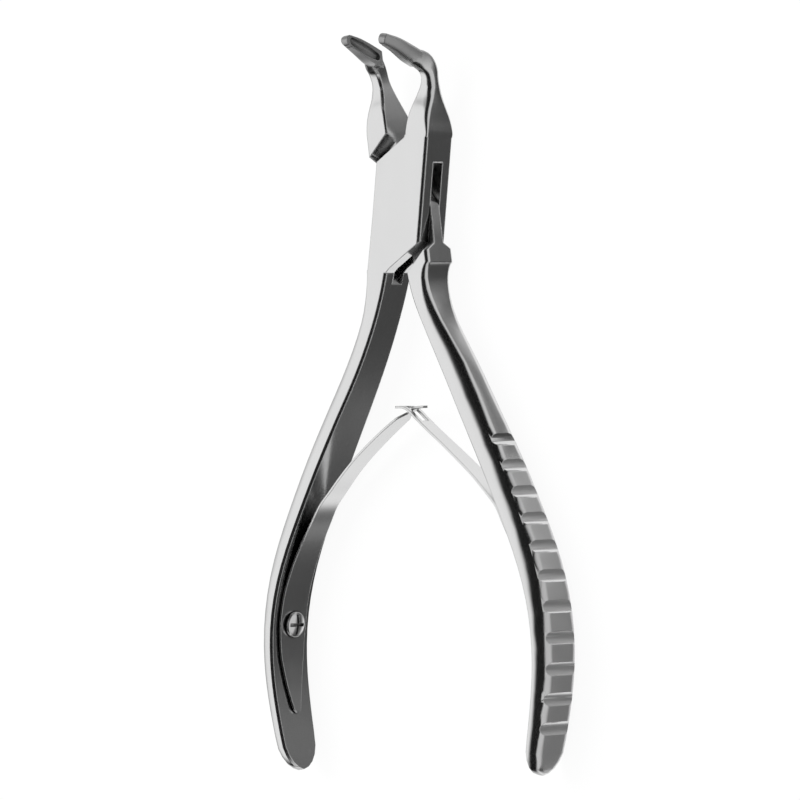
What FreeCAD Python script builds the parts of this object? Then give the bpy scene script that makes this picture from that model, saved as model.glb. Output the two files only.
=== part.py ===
import FreeCAD, Part
import math
import os

from FreeCAD import Vector as V

# Bone rongeur with a box lock, in millimetres.
# It lies on its back: X runs across the two limbs, Y along the instrument towards
# the jaws, and Z up, along the pivot. The jaws are bent forwards, to +Z.
# The origin is the pivot axis on the back face of the box lock.
# Each limb is drawn as it stands when the jaws are shut, with the plane x = 0
# between the cups, and is then turned about the pivot to the open rest pose.

# Lock
BOX_THICKNESS = 7.9        # front face to back face
BOX_HALF_WIDTH = 6.1
BOX_CHAMFER = 0.45
PLATE_THICKNESS = 2.6      # each of the box's two plates
TONGUE_CLEARANCE = 0.06    # between the tongue and each plate
TONGUE_HALF_WIDTH = 5.95
TONGUE_CORNER_Y = 1.1      # where the tongue's slanting edge meets its side
TONGUE_ROOT_ROUND = 0.9    # rounding of the tongue limb's long outer edges
LOCK_SLANT = 120.0         # degrees from +X of the slot's ends and the tongue's edges
SLOT_WINDOW_TOP = 8.2      # top of the slot's window in the side of the box
PLATE_SLANT = 40.0         # degrees from +X of the plates' ends
PLATE_CORNER_Y = 6.9       # where a plate's slanting end meets its side
JAW_ROOT_Y = 13.0          # lock ends and jaw begins
BOX_HANDLE_Y = 13.5        # the box ends and its handle begins, down from the pivot
TONGUE_HANDLE_Y = 12.2     # the same for the tongue
INNER_EDGE_X = 0.6         # jaw's inner face from the middle plane, at its root
SHOULDER_GAP_FACE = 1.6    # shut: tongue limb's shoulder to the plate end, at the faces
SHOULDER_GAP_ROOT = 0.4    # and at the foot of the shoulder
SHOULDER_TIP_ROUND = 0.5
PIN_RADIUS = 2.1
PIN_CLEARANCE = 0.03       # radial, in the tongue
HALF_OPENING = 7.0         # each limb, degrees, in the rest pose
ROUND_FLATS = 5            # flats in place of each rounded corner of a section

# Jaws: width is seen from the side, inner and outer are measured from x = 0.
CUP_GAP = 0.05             # each cup's rim to the middle plane when shut
CUP_HEEL_Z = 7.2
CUP_TIP_Z = 17.0
CUP_TIP_Y = 30.95          # middle of the round tip
CUP_TIP_RADIUS = 1.1
BOWL_LENGTH = 8.8
BOWL_WIDTH = 2.1
BOWL_END_RADIUS = 0.75
BOWL_SET_BACK = 0.2        # its axis from the middle plane when shut
BOWL_CENTRE = (29.4, 12.1)    # y, z
BOWL_TILT = 22.0           # degrees of the bowl's long axis above +Z
# y, z of the middle, lean from +Y to +Z, width, inner, outer, inner and outer corner
NECK_STATIONS = [
    (16.2, 4.0, 1.0, 7.6, 0.75, 5.7, 0.35, 0.9),
    (18.4, 4.3, 2.0, 6.3, 1.1, 5.4, 0.4, 1.2),
    (20.8, 4.45, 4.0, 4.5, 1.55, 5.05, 0.45, 1.4),
    (23.4, 4.7, 10.0, 3.2, 2.0, 4.8, 0.45, 1.3),
    (25.8, 5.45, 30.0, 3.4, 1.9, 4.65, 0.45, 1.2),
    (27.4, 7.1, 52.0, 3.7, 1.4, 4.15, 0.45, 1.2),
    (28.3, 9.3, 66.0, 2.7, 0.9, 2.9, 0.4, 1.0),
]
NECK_STRAIGHT = 1.0        # the jaw keeps its root's section this far
NECK_STEPS = 3             # lofted stretches from one station to the next
ROOT_INNER_CORNER = 0.3
# z, y of the middle, width, depth from the rim to the back of the cup
CUP_STATIONS = [
    (CUP_HEEL_Z, 27.55, 3.3, 3.8),
    (10.0, 28.65, 3.45, 3.35),
    (13.0, 29.95, 2.95, 2.8),
    (15.3, 30.7, 2.45, 2.2),
    (CUP_TIP_Z + 0.4, 31.3, 2.1, 1.5),
]
CUP_STEPS = 3
CUP_RIM_CORNER = 0.12
CUP_BACK_ROUND = 0.9       # share of the most that the width and depth allow

# Handles: y, inner face from x = 0, half width, thickness, outer corner radius.
# The two roots differ, because each grows from its own half of the lock.
BOX_HANDLE_ROOT = [
    (-BOX_HANDLE_Y, 1.4, BOX_THICKNESS / 2, 4.9, BOX_CHAMFER),
    (-18.5, 2.2, 3.85, 4.3, 1.0),
    (-24.5, 3.6, 3.85, 4.1, 2.0),
]
TONGUE_HANDLE_ROOT = [
    (-TONGUE_HANDLE_Y, 0.2, BOX_THICKNESS / 2, TONGUE_HALF_WIDTH - 0.2, TONGUE_ROOT_ROUND),
    (-14.4, 0.35, 3.9, 4.6, 1.1),
    (-18.0, 0.9, 3.85, 3.9, 1.3),
    (-24.5, 2.95, 3.85, 3.6, 2.0),
]
HANDLE_STATIONS = [
    (-33.5, 6.45, 4.1, 4.35, 2.8),
    (-43.0, 10.2, 4.6, 4.4, 3.1),
    (-52.5, 13.9, 4.95, 4.4, 3.1),
    (-62.4, 17.4, 5.2, 4.25, 3.1),
    (-71.9, 20.25, 5.4, 3.95, 3.0),
    (-81.2, 21.6, 5.5, 3.55, 2.8),
    (-90.3, 21.05, 5.4, 3.35, 2.6),
    (-97.0, 19.6, 5.25, 3.2, 2.5),
    (-103.7, 17.6, 5.0, 2.95, 2.2),
]
HANDLE_END = (-110.6, 15.4)    # y, inner face from x = 0
HANDLE_NOSE = 6.0          # length of the rounded end
NOSE_STEPS = 5
NOSE_FLAT = 0.45           # share of the thickness left at the very end
HANDLE_INNER_CORNER = 0.45
HANDLE_STEPS = 3           # lofted stretches from one station to the next
GROOVE_COUNT = 11
GROOVE_PITCH = 5.45
GROOVE_FIRST_Y = -49.0     # foot of the first groove on the inner face's curve
GROOVE_RADIUS = 1.9
GROOVE_DEPTH = 0.5

# Leaf springs
LEAF_THICKNESS = 0.6
LEAF_SEAT_GAP = 0.15       # leaf to handle
LEAF_TAIL_Y = -100.2       # along the handle, shut pose
LEAF_BEND = (-21.7, -57.4)     # rest pose: here the leaf turns away from the handle
LEAF_CROSSING_Y = -39.2    # where the two leaves cross, rest pose
LEAF_END_REACH = 3.0       # each leaf's end beyond the crossing
LEAF_TONGUE_HALF_WIDTH = 0.9   # the left leaf's narrow end
LEAF_WINDOW_HALF_WIDTH = 1.25  # the window it passes through in the right leaf
LEAF_WINDOW_RIM = 0.95
LEAF_WINDOW_START = -2.2   # x of the window's far end
LEAF_WINDOW_LENGTH = 5.0
SCREW_Y = -83.3            # along the handle, shut pose
SCREW_HEAD_RADIUS = 2.45
SCREW_HEAD_HEIGHT = 1.0
SCREW_HEAD_CHAMFER = 0.35
SCREW_HEAD_GAP = 0.2       # head to leaf, which curves with its handle
SCREW_SHANK_RADIUS = 1.1
SCREW_SHANK_LENGTH = 3.4
SCREW_HOLE_CLEARANCE = 0.15    # radial, in the leaf

MIDDLE_Z = BOX_THICKNESS / 2
SCREW_HEAD_LIFT = LEAF_SEAT_GAP + LEAF_THICKNESS + SCREW_HEAD_GAP


def turned(shape, degrees):
    """The shape turned about the pivot axis."""
    copy = shape.copy()
    copy.rotate(V(0, 0, 0), V(0, 0, 1), degrees)
    return copy


def other_side(shape):
    """The shape mirrored to the other side of the plane x = 0."""
    return shape.mirror(V(0, 0, 0), V(1, 0, 0))


def prism(points, z_low, z_high):
    """A straight solid on an outline in the XY plane."""
    corners = [V(x, y, z_low) for x, y in points]
    face = Part.Face(Part.makePolygon(corners + corners[:1]))
    return face.extrude(V(0, 0, z_high - z_low))


def rounded_section(origin, across, along, inner, outer, half_width, inner_corner, outer_corner):
    """A closed D section: flat inside with bevelled corners, rounded outside in short flats.

    across points from the inner face to the outer one, along runs over the width.
    """
    outer_room = min(half_width, outer - inner - inner_corner)
    outer_round = min(outer_corner, 0.97 * outer_room)
    inner_bevel = min(inner_corner, 0.97 * half_width)
    corners = [
        (origin + across * inner - along * half_width, inner_bevel, 1),
        (origin + across * outer - along * half_width, outer_round, ROUND_FLATS),
        (origin + across * outer + along * half_width, outer_round, ROUND_FLATS),
        (origin + across * inner + along * half_width, inner_bevel, 1),
    ]
    points = []
    for index, (corner, radius, flats) in enumerate(corners):
        back = (corners[index - 1][0] - corner).normalize()
        ahead = (corners[(index + 1) % 4][0] - corner).normalize()
        centre = corner + (back + ahead) * radius
        for step in range(flats + 1):
            angle = math.pi / 2 * step / flats
            points.append(centre - ahead * radius * math.cos(angle) - back * radius * math.sin(angle))
    return Part.makePolygon(points + points[:1])


def in_between(stations, steps):
    """The stations with rows added between them, on a smooth cubic down each column."""
    rows = []
    for index, (here, ahead) in enumerate(zip(stations, stations[1:])):
        before = stations[index - 1] if index else [2 * a - b for a, b in zip(here, ahead)]
        beyond = (stations + [[2 * b - a for a, b in zip(here, ahead)]])[index + 2]
        for step in range(steps):
            t = step / steps
            row = []
            for a, b, c, d in zip(before, here, ahead, beyond):
                slope, end_slope = (c - a) / 2, (d - b) / 2
                bend = 3 * (c - b) - 2 * slope - end_slope
                twist = 2 * (b - c) + slope + end_slope
                row.append(b + t * (slope + t * (bend + t * twist)))
            rows.append(row)
    return rows + [stations[-1]]


def loft(sections):
    """A solid of short straight stretches through the sections, with its faces outward."""
    solid = Part.makeLoft(sections, True, True)
    if solid.Volume < 0:
        solid.reverse()
    return solid


# Jaws

def neck(half_width, corner):
    """Right jaw from the lock to the middle of the cup, shut pose.

    It starts with the section of the lock half that it grows from.
    """
    root = [(JAW_ROOT_Y + run, MIDDLE_Z, 0.0, BOX_THICKNESS, INNER_EDGE_X, half_width,
             ROOT_INNER_CORNER, corner) for run in (0, NECK_STRAIGHT)]
    sections = []
    rows = in_between(root + NECK_STATIONS, NECK_STEPS)
    for y, z, lean, width, inner, outer, inner_corner, outer_corner in rows:
        angle = math.radians(lean)
        along = V(0, -math.sin(angle), math.cos(angle))
        section = rounded_section(V(0, y, z), V(1, 0, 0), along, inner, outer, width / 2,
                                  inner_corner, outer_corner)
        sections.append(section)
    return loft(sections)


def cup_body():
    """Right cup: flat rim on the middle plane, round back and round tip."""
    sections = []
    for z, y, width, depth in in_between(CUP_STATIONS, CUP_STEPS):
        back_round = CUP_BACK_ROUND * min(width / 2, depth)
        sections.append(rounded_section(V(0, y, z), V(1, 0, 0), V(0, 1, 0), CUP_GAP, depth, width / 2,
                                        CUP_RIM_CORNER, back_round))
    centre = V(-depth, CUP_TIP_Y, CUP_TIP_Z - CUP_TIP_RADIUS)
    round_tip = Part.makeCylinder(CUP_TIP_RADIUS, 4 * depth, centre, V(1, 0, 0))
    height = centre.z - CUP_HEEL_Z
    rest = Part.makeBox(4 * depth, 4 * height, height, V(-depth, centre.y - 2 * height, CUP_HEEL_Z))
    return loft(sections).common(rest.fuse(round_tip))


def bowl():
    """The hollow of the right cup: a slender arc with round ends, turned about its own axis."""
    half_width = BOWL_WIDTH / 2
    end_x = BOWL_LENGTH / 2 - BOWL_END_RADIUS
    side_radius = (end_x ** 2 + half_width ** 2 - BOWL_END_RADIUS ** 2) / (half_width - BOWL_END_RADIUS) / 2
    lean = math.atan2(end_x, side_radius - half_width)
    join = V(side_radius * math.sin(lean), side_radius * math.cos(lean) - side_radius + half_width, 0)
    join_left = V(-join.x, join.y, 0)
    tip = V(BOWL_LENGTH / 2, 0, 0)
    tip_angle = (math.pi / 2 - lean) / 2
    cap = V(end_x + BOWL_END_RADIUS * math.cos(tip_angle), BOWL_END_RADIUS * math.sin(tip_angle), 0)
    profile = Part.Wire([
        Part.Arc(tip, cap, join).toShape(),
        Part.Arc(join, V(0, half_width, 0), join_left).toShape(),
        Part.Arc(join_left, V(-cap.x, cap.y, 0), -tip).toShape(),
        Part.makeLine(-tip, tip),
    ])
    hollow = Part.Face(profile).revolve(V(0, 0, 0), V(1, 0, 0), 360)
    hollow.rotate(V(0, 0, 0), V(0, 1, 0), -90)
    hollow.rotate(V(0, 0, 0), V(1, 0, 0), -BOWL_TILT)
    hollow.translate(V(BOWL_SET_BACK, BOWL_CENTRE[0], BOWL_CENTRE[1]))
    return hollow


def jaw(half_width, corner):
    """Right jaw with its cup, shut pose."""
    return neck(half_width, corner).fuse(cup_body()).cut(bowl())


# Handles

def handle_curve(root):
    """The left handle's inner face as a curve in the plane z = MIDDLE_Z, shut pose."""
    points = [V(-x, y, MIDDLE_Z) for y, x, _, _, _ in root + HANDLE_STATIONS]
    points.append(V(-HANDLE_END[1], HANDLE_END[0], MIDDLE_Z))
    curve = Part.BSplineCurve()
    curve.interpolate(points)
    return curve


def outward(curve, parameter):
    """Unit vector from the inner face to the handle's outside."""
    way = curve.tangent(parameter)[0]
    return V(way.y, -way.x, 0) if way.y < 0 else V(-way.y, way.x, 0)


def at_height(curve, y):
    """The curve's parameter at a height y, by halving."""
    low, high = curve.FirstParameter, curve.LastParameter
    for _ in range(40):
        middle = (low + high) / 2
        if curve.value(middle).y > y:
            low = middle
        else:
            high = middle
    return low


def handle_size(y, column):
    """A handle size at a height y, between its two stations."""
    for above, below in zip(HANDLE_STATIONS, HANDLE_STATIONS[1:]):
        if y >= below[0]:
            share = (above[0] - y) / (above[0] - below[0])
            return above[column] + (below[column] - above[column]) * share
    return HANDLE_STATIONS[-1][column]


def handle(root):
    """Left handle, shut pose: D sections along the inner face, with a round end."""
    curve = handle_curve(root)
    rows = in_between(root + HANDLE_STATIONS, HANDLE_STEPS)
    _, _, half_width, thickness, corner = rows[-1]
    for step in range(1, NOSE_STEPS + 1):
        angle = math.radians(90 * step / (NOSE_STEPS + 0.3))
        share = math.cos(angle)
        y = HANDLE_END[0] + HANDLE_NOSE * (1 - math.sin(angle))
        depth = thickness * (NOSE_FLAT + (1 - NOSE_FLAT) * share)
        rows.append((y, 0, half_width * share, depth, corner))
    sections = []
    for y, _, half_width, depth, corner in rows:
        parameter = at_height(curve, y)
        across = outward(curve, parameter) if sections else V(-1, 0, 0)
        sections.append(rounded_section(curve.value(parameter), across, V(0, 0, 1), 0, depth,
                                        half_width, HANDLE_INNER_CORNER, corner))
    grooved = loft(sections)
    for tool in groove_tools(curve):
        grooved = grooved.cut(tool)
    return grooved


def groove_tools(curve):
    """One round cutter across the outside for each finger groove."""
    tools = []
    first = curve.length(curve.FirstParameter, at_height(curve, GROOVE_FIRST_Y))
    for index in range(GROOVE_COUNT):
        parameter = curve.parameterAtDistance(first + index * GROOVE_PITCH, curve.FirstParameter)
        foot = curve.value(parameter)
        way = outward(curve, parameter)
        centre = foot + way * (handle_size(foot.y, 3) + GROOVE_RADIUS - GROOVE_DEPTH)
        width = 4 * handle_size(foot.y, 2)
        centre.z = MIDDLE_Z - width / 2
        tools.append(Part.makeCylinder(GROOVE_RADIUS, width, centre, V(0, 0, 1)))
    return tools


# Lock

def plate_end_y(x):
    """Height of the plates' slanting top end at a place x."""
    return PLATE_CORNER_Y + (x + BOX_HALF_WIDTH) * math.tan(math.radians(PLATE_SLANT))


def slant_band(half_band, z_low, z_high):
    """Everything between two slanting lines at equal distances from the pivot."""
    angle = math.radians(LOCK_SLANT)
    way = V(math.cos(angle), math.sin(angle), 0)
    side = V(way.y, -way.x, 0)
    far = 4 * BOX_HALF_WIDTH
    corners = [way * a + side * b for a, b in ((-far, -half_band), (far, -half_band),
                                               (far, half_band), (-far, half_band))]
    return prism([(p.x, p.y) for p in corners], z_low, z_high)


def slant_distance(x, y):
    """Distance of a point from the slanting line through the pivot."""
    angle = math.radians(LOCK_SLANT)
    return x * math.sin(angle) - y * math.cos(angle)


def side_edges(block, half_width):
    """The block's long outer edges on its front and back faces."""
    found = []
    for edge in block.Edges:
        a, b = edge.Vertexes[0].Point, edge.Vertexes[-1].Point
        if abs(a.z - b.z) < 1e-6 and min(abs(a.x), abs(b.x)) > half_width - 0.01:
            found.append(edge)
    return found


def box_block():
    """The box with its roots of the right jaw and the left handle, uncut."""
    inner_y = plate_end_y(INNER_EDGE_X)
    _, handle_inner, _, handle_thickness, _ = BOX_HANDLE_ROOT[0]
    outline = [
        (-BOX_HALF_WIDTH, PLATE_CORNER_Y),
        (-BOX_HALF_WIDTH, -PLATE_CORNER_Y / 2),
        (-handle_inner - handle_thickness, -BOX_HANDLE_Y),
        (-handle_inner, -BOX_HANDLE_Y),
        (-INNER_EDGE_X, -inner_y),
        (BOX_HALF_WIDTH, -PLATE_CORNER_Y),
        (BOX_HALF_WIDTH, JAW_ROOT_Y),
        (INNER_EDGE_X, JAW_ROOT_Y),
        (INNER_EDGE_X, inner_y),
    ]
    block = prism(outline, 0, BOX_THICKNESS)
    return block.makeChamfer(BOX_CHAMFER, side_edges(block, BOX_HALF_WIDTH))


def box_limb():
    """Right jaw, slotted box and left handle, shut pose."""
    slot_half_band = slant_distance(BOX_HALF_WIDTH, SLOT_WINDOW_TOP)
    slot = slant_band(slot_half_band, PLATE_THICKNESS, BOX_THICKNESS - PLATE_THICKNESS)
    limb = box_block().fuse(jaw(BOX_HALF_WIDTH, BOX_CHAMFER))
    limb = limb.fuse(handle(BOX_HANDLE_ROOT))
    limb = limb.cut(slot)
    limb = limb.cut(Part.makeCylinder(PIN_RADIUS, BOX_THICKNESS))
    return limb.cut(screw_hole(BOX_HANDLE_ROOT))


def tongue_block():
    """The tongue and its roots of the left jaw and the right handle, at full thickness."""
    angle = math.radians(LOCK_SLANT)
    _, handle_inner, _, _, _ = TONGUE_HANDLE_ROOT[0]
    jaw_run = (TONGUE_HALF_WIDTH + INNER_EDGE_X) / -math.cos(angle)
    handle_run = (TONGUE_HALF_WIDTH + handle_inner) / -math.cos(angle)
    outline = [
        (-INNER_EDGE_X, JAW_ROOT_Y),
        (-TONGUE_HALF_WIDTH, JAW_ROOT_Y),
        (-TONGUE_HALF_WIDTH, TONGUE_CORNER_Y),
        (handle_inner, TONGUE_CORNER_Y - handle_run * math.sin(angle)),
        (handle_inner, -TONGUE_HANDLE_Y),
        (TONGUE_HALF_WIDTH, -TONGUE_HANDLE_Y),
        (TONGUE_HALF_WIDTH, -TONGUE_CORNER_Y),
        (-INNER_EDGE_X, jaw_run * math.sin(angle) - TONGUE_CORNER_Y),
    ]
    block = prism(outline, 0, BOX_THICKNESS)
    return block.makeFillet(TONGUE_ROOT_ROUND, side_edges(block, TONGUE_HALF_WIDTH))


def shoulder_y(x, gap):
    """Height of the jaw-side shoulder at x, at a gap from the plates' end."""
    return plate_end_y(x) + gap / math.cos(math.radians(PLATE_SLANT))


def plate_room():
    """What is milled off in front of the tongue for the box's front plate."""
    far = 2 * BOX_HALF_WIDTH

    def outline(z, gap):
        corners = [
            V(-far, shoulder_y(-far, gap), z),
            V(-far, -shoulder_y(far, gap), z),
            V(far, -shoulder_y(-far, gap), z),
            V(far, shoulder_y(far, gap), z),
        ]
        return Part.makePolygon(corners + corners[:1])

    foot = BOX_THICKNESS - PLATE_THICKNESS - TONGUE_CLEARANCE
    return Part.makeLoft([outline(foot, SHOULDER_GAP_ROOT), outline(BOX_THICKNESS, SHOULDER_GAP_FACE)],
                         True, True)


def tip_rounding():
    """What rounds the front tip of the jaw-side shoulder."""
    slant = math.radians(PLATE_SLANT)
    up = V(0, 1, 0)
    inward = V(math.cos(slant), math.sin(slant), 0)
    inside = (up + inward).normalize()
    half_angle = (math.pi / 2 - slant) / 2

    def outline(z, gap):
        tip = V(-TONGUE_HALF_WIDTH, shoulder_y(-TONGUE_HALF_WIDTH, gap), z)
        reach = SHOULDER_TIP_ROUND / math.tan(half_angle)
        middle = tip + inside * (SHOULDER_TIP_ROUND / math.sin(half_angle) - SHOULDER_TIP_ROUND)
        start, end, beyond = tip + up * reach, tip + inward * reach, tip - inside * SHOULDER_TIP_ROUND
        return Part.Wire([Part.Arc(start, middle, end).toShape(), Part.makeLine(end, beyond),
                          Part.makeLine(beyond, start)])

    foot = BOX_THICKNESS - PLATE_THICKNESS - TONGUE_CLEARANCE
    return loft([outline(foot, SHOULDER_GAP_ROOT), outline(BOX_THICKNESS, SHOULDER_GAP_FACE)])


def tongue_limb():
    """Left jaw, tongue and right handle, shut pose."""
    limb = tongue_block().fuse(other_side(jaw(TONGUE_HALF_WIDTH, TONGUE_ROOT_ROUND)))
    limb = limb.fuse(other_side(handle(TONGUE_HANDLE_ROOT)))
    for tool in (plate_room(), tip_rounding(), turned(tip_rounding(), 180)):
        limb = limb.cut(tool)
        limb = limb.cut(tool.mirror(V(0, 0, MIDDLE_Z), V(0, 0, 1)))
    limb = limb.cut(Part.makeCylinder(PIN_RADIUS + PIN_CLEARANCE, BOX_THICKNESS))
    return limb.cut(other_side(screw_hole(TONGUE_HANDLE_ROOT)))


# Springs and screws

def screw_frame(root):
    """Seat of the left screw on the handle's inner face and its inward direction."""
    curve = handle_curve(root)
    parameter = at_height(curve, SCREW_Y)
    return curve.value(parameter), outward(curve, parameter)


def screw(root):
    """Left spring screw, shut pose: a pan head with a rounded rim and a shank."""
    seat, way = screw_frame(root)
    under = seat - way * SCREW_HEAD_LIFT
    head = Part.makeCylinder(SCREW_HEAD_RADIUS, SCREW_HEAD_HEIGHT, under, -way)
    top = [edge for edge in head.Edges if (edge.CenterOfMass - under).dot(-way) > SCREW_HEAD_HEIGHT / 2
           and edge.Closed]
    head = head.makeChamfer(SCREW_HEAD_CHAMFER, top)
    shank = Part.makeCylinder(SCREW_SHANK_RADIUS, SCREW_SHANK_LENGTH, under, way)
    return head.fuse(shank)


def screw_hole(root):
    """The drilled hole for the left screw's shank in the left handle."""
    seat, way = screw_frame(root)
    under = seat - way * SCREW_HEAD_LIFT
    return Part.makeCylinder(SCREW_SHANK_RADIUS, SCREW_SHANK_LENGTH, under, way)


# y on the handle in the shut pose, extra distance from it, half width of the leaf
LEAF_SEATED = [
    (LEAF_TAIL_Y, 0.0, 0.8),
    (-95.0, 0.0, 2.1),
    (-89.5, 0.0, 3.2),
    (SCREW_Y, 0.0, 3.7),
    (-77.5, 0.0, 3.6),
    (-72.5, 0.25, 3.4),
    (-67.0, 0.6, 3.05),
    (-62.5, 1.0, 2.75),
]


def leaf_route():
    """Middle line of the left leaf in the rest pose, with its half widths."""
    curve = handle_curve(BOX_HANDLE_ROOT)
    turn = FreeCAD.Rotation(V(0, 0, 1), -HALF_OPENING)
    route = []
    for y, distance, half_width in LEAF_SEATED:
        parameter = at_height(curve, y)
        lift = LEAF_SEAT_GAP + LEAF_THICKNESS / 2 + distance
        point = turn.multVec(curve.value(parameter) - outward(curve, parameter) * lift)
        route.append((point, half_width))
    bend = V(LEAF_BEND[0], LEAF_BEND[1], MIDDLE_Z)
    crossing = V(0, LEAF_CROSSING_Y, MIDDLE_Z)
    for share, half_width in ((0.0, 2.5), (0.3, 2.3), (0.6, 2.2), (0.85, 2.1)):
        route.append((bend + (crossing - bend) * share, half_width))
    return route


def leaf(hooked):
    """The left leaf as rectangles lofted along its route and past the crossing."""
    route = leaf_route()
    crossing = V(0, LEAF_CROSSING_Y, MIDDLE_Z)
    end_width = LEAF_TONGUE_HALF_WIDTH if hooked else LEAF_WINDOW_HALF_WIDTH + LEAF_WINDOW_RIM
    route.append((crossing + V(0.35 * LEAF_END_REACH, 0.4, 0), end_width))
    route.append((crossing + V(LEAF_END_REACH, 0.5, 0), end_width))
    if hooked:
        point, _ = route[-3]
        route[-3] = (point, end_width)
    curve = Part.BSplineCurve()
    curve.interpolate([point for point, _ in route])
    sections = []
    for point, half_width in route:
        way = curve.tangent(curve.parameter(point))[0]
        side = V(way.y, -way.x, 0) * (LEAF_THICKNESS / 2)
        rise = V(0, 0, half_width)
        corners = [point - side - rise, point + side - rise, point + side + rise, point - side + rise]
        sections.append(Part.makePolygon(corners + corners[:1]))
    strip = loft(sections)
    seat, way = screw_frame(BOX_HANDLE_ROOT)
    hole = Part.makeCylinder(SCREW_SHANK_RADIUS + SCREW_HOLE_CLEARANCE, 6 * LEAF_THICKNESS,
                             seat - way * 4 * LEAF_THICKNESS, way)
    return strip.cut(turned(hole, -HALF_OPENING))


def spring_left():
    """The leaf whose narrow end passes through the other one's window."""
    return leaf(True)


def spring_right():
    """The mirrored leaf, with the window near its end."""
    strip = other_side(leaf(False))
    corner = V(LEAF_WINDOW_START, LEAF_CROSSING_Y - LEAF_WINDOW_LENGTH, MIDDLE_Z - LEAF_WINDOW_HALF_WIDTH)
    window = Part.makeBox(LEAF_WINDOW_LENGTH, 2 * LEAF_WINDOW_LENGTH, 2 * LEAF_WINDOW_HALF_WIDTH, corner)
    return strip.cut(window)


def main():
    os.makedirs("parts", exist_ok=True)
    pieces = {
        "box_limb": turned(box_limb(), -HALF_OPENING),
        "tongue_limb": turned(tongue_limb(), HALF_OPENING),
        "pivot_pin": Part.makeCylinder(PIN_RADIUS, BOX_THICKNESS),
        "spring_left": spring_left(),
        "spring_right": spring_right(),
        "spring_screw_left": turned(screw(BOX_HANDLE_ROOT), -HALF_OPENING),
        "spring_screw_right": turned(other_side(screw(TONGUE_HANDLE_ROOT)), HALF_OPENING),
    }
    for name, shape in pieces.items():
        solids = shape.Solids
        print(name, "solids", len(solids), "valid", shape.isValid(), "volume %.1f" % shape.Volume)
        if len(solids) == 1:
            shape = solids[0]
        shape.exportStep("parts/%s.step" % name)


main()
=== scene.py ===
# %% [markdown]
# # A bone rongeur in satin steel
# This lesson dresses a rongeur, the surgeon's bone nibbler, for a portrait. The solid model already
# holds its limbs, box lock, leaf springs and screws at real size. Here the limbs get smooth shading,
# the leaves their slight bow, the screws their crosses, and all of it steel finishes, a camera and a
# small studio.
# The model is loaded first, because everything after it rides on its bodies. It is in metres, and
# its frame stays: X across the two handles, Y along the tool to the jaws, Z up through the pivot.

# %% Load the model
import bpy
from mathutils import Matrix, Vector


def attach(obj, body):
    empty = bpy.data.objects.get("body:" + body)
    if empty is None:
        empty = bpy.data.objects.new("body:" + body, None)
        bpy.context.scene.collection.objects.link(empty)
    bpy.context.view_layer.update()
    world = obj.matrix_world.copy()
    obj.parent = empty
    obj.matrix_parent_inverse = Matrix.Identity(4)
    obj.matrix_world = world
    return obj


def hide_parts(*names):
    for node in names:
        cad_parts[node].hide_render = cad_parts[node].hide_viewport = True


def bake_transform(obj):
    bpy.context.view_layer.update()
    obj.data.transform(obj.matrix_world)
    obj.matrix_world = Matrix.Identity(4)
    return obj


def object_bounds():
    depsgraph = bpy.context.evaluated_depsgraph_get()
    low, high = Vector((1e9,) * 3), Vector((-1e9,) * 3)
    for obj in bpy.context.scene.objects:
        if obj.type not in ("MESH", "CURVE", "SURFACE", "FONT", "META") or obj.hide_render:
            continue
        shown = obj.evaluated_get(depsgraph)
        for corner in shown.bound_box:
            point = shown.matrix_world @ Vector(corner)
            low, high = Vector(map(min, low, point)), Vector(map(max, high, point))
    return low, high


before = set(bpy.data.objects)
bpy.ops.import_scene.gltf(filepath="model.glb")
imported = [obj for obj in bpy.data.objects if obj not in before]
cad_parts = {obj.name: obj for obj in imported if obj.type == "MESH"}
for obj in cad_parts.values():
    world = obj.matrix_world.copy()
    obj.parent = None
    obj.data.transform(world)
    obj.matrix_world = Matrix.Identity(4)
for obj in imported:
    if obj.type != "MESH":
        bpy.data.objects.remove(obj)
CAD_BOX = [list(corner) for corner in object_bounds()]

import math

import bpy
import numpy as np
from mathutils import Matrix, Vector

MM = 0.001
MIDDLE_Z = 3.95            # half the lock's thickness, mm
print("nodes:", sorted(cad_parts))
print("box in mm:", [[round(value / MM, 1) for value in corner] for corner in CAD_BOX])

# %% [markdown]
# ## The camera
# The tool is seen from the front, turned 40 degrees to its right side, with the jaws at the top and a
# very small roll. A long lens keeps the two handles the same size, as a product photographer would.
# A camera can be aimed by trial, or at an empty object. Here its three axes are worked out from the
# angles, and its place from where the pivot lies in the picture, so that nothing is left to trial.

# %% Camera
VIEW_ANGLE = math.radians(40.0)
ROLL = math.radians(0.95)
DISTANCE = 1500.0
FIELD = 151.8              # width seen at the tool, mm
PIXELS_PER_MM = 5.27
PIVOT_FROM_CENTRE = (10.0, 197.0)    # pixels to the right and up

backward = Vector((math.sin(VIEW_ANGLE), 0, math.cos(VIEW_ANGLE)))
level_right = Vector((math.cos(VIEW_ANGLE), 0, -math.sin(VIEW_ANGLE)))
level_up = Vector((0, 1, 0))
camera_right = level_right * math.cos(ROLL) - level_up * math.sin(ROLL)
camera_up = level_right * math.sin(ROLL) + level_up * math.cos(ROLL)
across, above = (pixels / PIXELS_PER_MM for pixels in PIVOT_FROM_CENTRE)
target = Vector((0, 0, MIDDLE_Z)) - camera_right * across - camera_up * above
place = (target + backward * DISTANCE) * MM

camera_data = bpy.data.cameras.new("portrait_camera")
camera_data.sensor_width = 36.0
camera_data.lens = camera_data.sensor_width * DISTANCE / FIELD
camera_data.clip_start = 0.05
camera_data.clip_end = 20.0
camera = bpy.data.objects.new("portrait_camera", camera_data)
bpy.context.scene.collection.objects.link(camera)
turn = Matrix((camera_right, camera_up, backward)).transposed()
camera.matrix_world = Matrix.Translation(place) @ turn.to_4x4()
bpy.context.scene.camera = camera
bpy.context.scene.view_settings.view_transform = "Standard"
print("lens %.0f mm" % camera_data.lens)

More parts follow.
